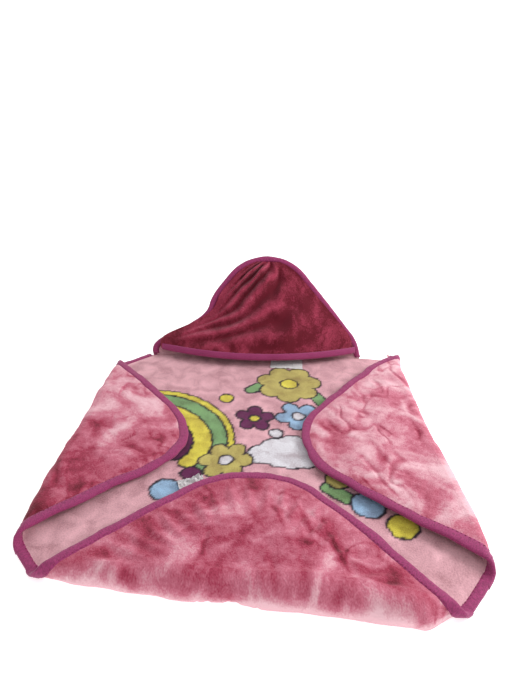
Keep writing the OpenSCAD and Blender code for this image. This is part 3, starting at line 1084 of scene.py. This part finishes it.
def hood_painted_light(x, y, s, t):
    """Painted light on the hood's pile: deep painted shade, paler to the left, a painted highlight on its
    lower right and painted light and shade along the creases, over the pile's painted sheen.
    """
    lit = smooth(s, 0.45, 0.9) * (1 - smooth(t, 0.1, 0.35)) * 0.12
    return 0.10 - 0.10 * s + 0.16 * pile_lay_and_sheen(x, y) + lit + 0.14 * creases(s, t)


def hood_edge():
    """The back's edge, from its lower left end over the top: (place, outward direction) pairs."""
    shares = [k / 110 for k in range(111)]
    edge = [hood_spot(-1, t) for t in shares] + [hood_spot(1, t) for t in shares[-2::-1]]
    path = []
    for a, b, c in zip(edge, edge[1:], edge[2:]):
        ahead = (c - a).normalized()
        outward = Vector((-ahead.y, ahead.x, 0))
        path.append((b + outward * BAND * 0.1, outward))
    return path


def hood_band_place(x, y, lift):
    """Where a point of the tape round the hood's edge goes, kept above the floor."""
    spot = hood_lay(x, y, lift + 2.5 * MM + sway(x, y))
    spot.z = max(0, spot.z)
    return spot


def hood_mouth():
    """Tape over the front's lower edge: its path runs along s, nearly from -1 to 1."""
    count = 150
    path = [(Vector((k / count * 1.98 - 0.99, 0, 0)), Vector((0, -1, 0))) for k in range(count + 1)]

    def mouth_place(x, y, lift):
        return front_place(x, 0, hood_spot(x, 0) + Vector((0, y + 5 * MM, 0)), 4 * MM + lift)

    return finished(tube(path, 7.5 * MM, MOUTH_TAPE_HALF, mouth_place, 0.15, 83), "hood_mouth_tape", tape)


def hood():
    """The hood's back, its pocket's front and lining, and their tapes."""
    back_outer = hood_sheet("hood_back_outer", outer_plush, 1, back_place, -PLY, 0)
    back_inner = hood_sheet("hood_back_inner", inner_plush, 1, back_place, 0, PLY)
    front = hood_sheet("hood_front_outer", outer_plush, FRONT_TOP, front_place, 2 * MM, 7 * MM)
    lining = hood_sheet("hood_front_lining_cloth", inner_plush, FRONT_TOP, front_place, 0, 2 * MM)
    path = hood_edge()
    binding = tube(path, BAND / 2, HOOD_TAPE_HALF, hood_band_place, 0.15, 81)
    band = finished(binding, "hood_edge_tape", tape)
    sewn = stitches(path, STITCH_IN, HOOD_TAPE_HALF - 0.1 * MM, hood_band_place)
    seam = finished(sewn, "hood_edge_stitches", thread)
    mouth = hood_mouth()
    # These start on the floor and bend at the hood's line, about halfway between flat and raised; they stay
    # where they are and do not go with the hood
    for piece in (back_outer, back_inner, band, seam):
        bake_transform(piece)
    for piece in (front, lining, mouth):
        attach(piece, "hood")
    table = [
        (back_outer, "outer_plush", ["hood_back_outer_ply", "hood_bend_outer_ply"]),
        (back_inner, "inner_plush", ["hood_back_inner_ply", "hood_bend_inner_ply"]),
        (front, "outer_plush", ["hood_front_ply"]),
        (lining, "inner_plush", ["hood_front_lining"]),
        (band, "binding_tape", ["hood_edge_binding", "hood_bend_bindings"]),
        (seam, "thread", ["hood_edge_stitching"]),
        (mouth, "binding_tape", ["hood_mouth_binding"]),
    ]
    for piece, slot, nodes in table:
        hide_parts(*nodes)
    return [row[0] for row in table]


# ---- Labels ----

TAB_CUT = (40 * MM, 26 * MM)
# How far each is moved from its solid, so that it shows past the hood's mouth and the foot's binding
LABEL_MOVE = Vector((0, -18 * MM, 0))
TAB_MOVE = Vector((9 * MM, 7 * MM, 0))
TAB_TURN = math.radians(24)


def loose_strip(name, low, high, height, crumple, skin):
    """A thin blank strip of cloth within a box, crumpled by noise."""
    bm = flat_sheet(low, high, 1.2 * MM, ALONG_X, ALONG_Y, [])
    bmesh.ops.recalc_face_normals(bm, faces=bm.faces)
    bmesh.ops.solidify(bm, geom=bm.faces[:] + bm.edges[:] + bm.verts[:], thickness=0.5 * MM)
    layer = bm.loops.layers.uv.new("cloth")
    for polygon in bm.faces:
        for loop in polygon.loops:
            loop[layer].uv = loop.vert.co.xy
    for v in bm.verts:
        v.co.z += height + crumple * abs(waves(v.co.x, v.co.y, 9 * MM, 2, 91))
    return finished(bm, name, skin)


def care_label():
    """A blank ribbon that lies on the ground cloth in front of the hood's mouth."""
    low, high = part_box("care_label")
    low += LABEL_MOVE
    high += LABEL_MOVE
    care = loose_strip("blank_care_label", low, high, high.z + 0.9 * MM, 1.5 * MM, ribbon)
    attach(care, "centre")
    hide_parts("care_label")
    return care


def satin_tab():
    """A blank crumpled tab at the foot flap's edge."""
    low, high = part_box("edge_tab")
    middle = (low + high) / 2
    half = Vector((*TAB_CUT, 0)) / 2
    tab = loose_strip("blank_satin_tab", -half, half, middle.z + 2 * MM, 10 * MM, satin)
    spot = middle + TAB_MOVE
    spot.z = 0
    tab.data.transform(Matrix.Translation(spot) @ Matrix.Rotation(TAB_TURN, 4, "Z"))
    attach(tab, FOOT.body)
    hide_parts("edge_tab")
    return tab


# ---- How large each piece of cloth was cut ----


def declare_ground():
    area = cut_area(ground_sheet(10 * MM))


def declare_corners():
    for fold, (outer, inner, band, seam) in zip(FOLDS, corners):
        *flat, area = corner_cut(fold, [past_roll(fold)])
        *flat, area = corner_cut(fold)


def declare_hood():
    shares = [k / 60 for k in range(61)]
    edge = [hood_spot(-1, t) for t in shares] + [hood_spot(1, t) for t in shares[::-1]]


# ---- Build ----

ground = ground_cloth()
corners = [corner(fold) for fold in FOLDS]
edges = ground_edges()
hood_pieces = hood()
care = care_label()
tab = satin_tab()
declare_ground()
declare_corners()
declare_hood()

# ---- Floor, light and camera ----

def white_paper():
    """Paper that glows a little, so that it stays white in the picture."""
    made, _, shader = material("white_paper", 0.9)
    shader.inputs["Base Color"].default_value = rgb("f4f4f4")
    shader.inputs["Emission Color"].default_value = rgb("ffffff")
    shader.inputs["Emission Strength"].default_value = 0.6
    return made


def paper_sheet(name, matrix, paper):
    """A large square of the paper, flat on the floor before matrix moves it."""
    bm = bmesh.new()
    bmesh.ops.create_grid(bm, x_segments=1, y_segments=1, size=PAPER_HALF)
    bmesh.ops.transform(bm, verts=bm.verts, matrix=matrix)
    finished(bm, name, paper)


def soft_light(name, place, target, size, power):
    """A square white soft box aimed at a target."""
    lamp = bpy.data.lights.new(name, "AREA")
    lamp.size = size
    lamp.energy = power
    holder = bpy.data.objects.new(name, lamp)
    holder.location = place
    holder.rotation_euler = (Vector(target) - Vector(place)).to_track_quat("-Z", "Y").to_euler()
    bpy.context.scene.collection.objects.link(holder)


def white_world():
    """Even white light from all round."""
    world = bpy.data.worlds.new("studio")
    world.use_nodes = True
    background = world.node_tree.nodes["Background"]
    background.inputs["Color"].default_value = rgb("ffffff")
    background.inputs["Strength"].default_value = 0.7
    return world


def camera_at(place, pitch, yaw, tilt, focal_length, sensor=36):
    """A camera looking down by pitch, to the right of +Y by yaw, and rolled by tilt, all in radians."""
    ahead = Vector((math.sin(yaw) * math.cos(pitch), math.cos(yaw) * math.cos(pitch), -math.sin(pitch)))
    level = Vector((math.cos(yaw), -math.sin(yaw), 0))
    upward = level.cross(ahead)
    side = level * math.cos(tilt) + upward * math.sin(tilt)
    top = upward * math.cos(tilt) - level * math.sin(tilt)
    lens = bpy.data.cameras.new("camera")
    lens.lens = focal_length
    lens.sensor_width = sensor
    lens.sensor_height = sensor
    lens.sensor_fit = "VERTICAL"
    viewer = bpy.data.objects.new("camera", lens)
    viewer.matrix_world = Matrix.Translation(place) @ Matrix((side, top, -ahead)).transposed().to_4x4()
    bpy.context.scene.collection.objects.link(viewer)
    return viewer


PAPER_HALF = 8
paper = white_paper()
paper_sheet("floor", Matrix.Translation((0, 0, -0.5 * MM)), paper)
upright = Matrix.Rotation(math.pi / 2, 4, "X")
paper_sheet("backdrop", Matrix.Translation((0, PAPER_HALF, 0)) @ upright, paper)
soft_light("window", place=(1.6, 0.3, 1.1), target=(0, -0.1, 0), size=0.8, power=24)
scene = bpy.context.scene
scene.world = white_world()
scene.view_settings.view_transform = "Standard"
scene.camera = camera_at(
    place=Vector((0.011, -0.720, 0.572)),
    pitch=math.radians(27.6),
    yaw=math.radians(-2.9),
    tilt=math.radians(1.5),
    focal_length=27.66,
)
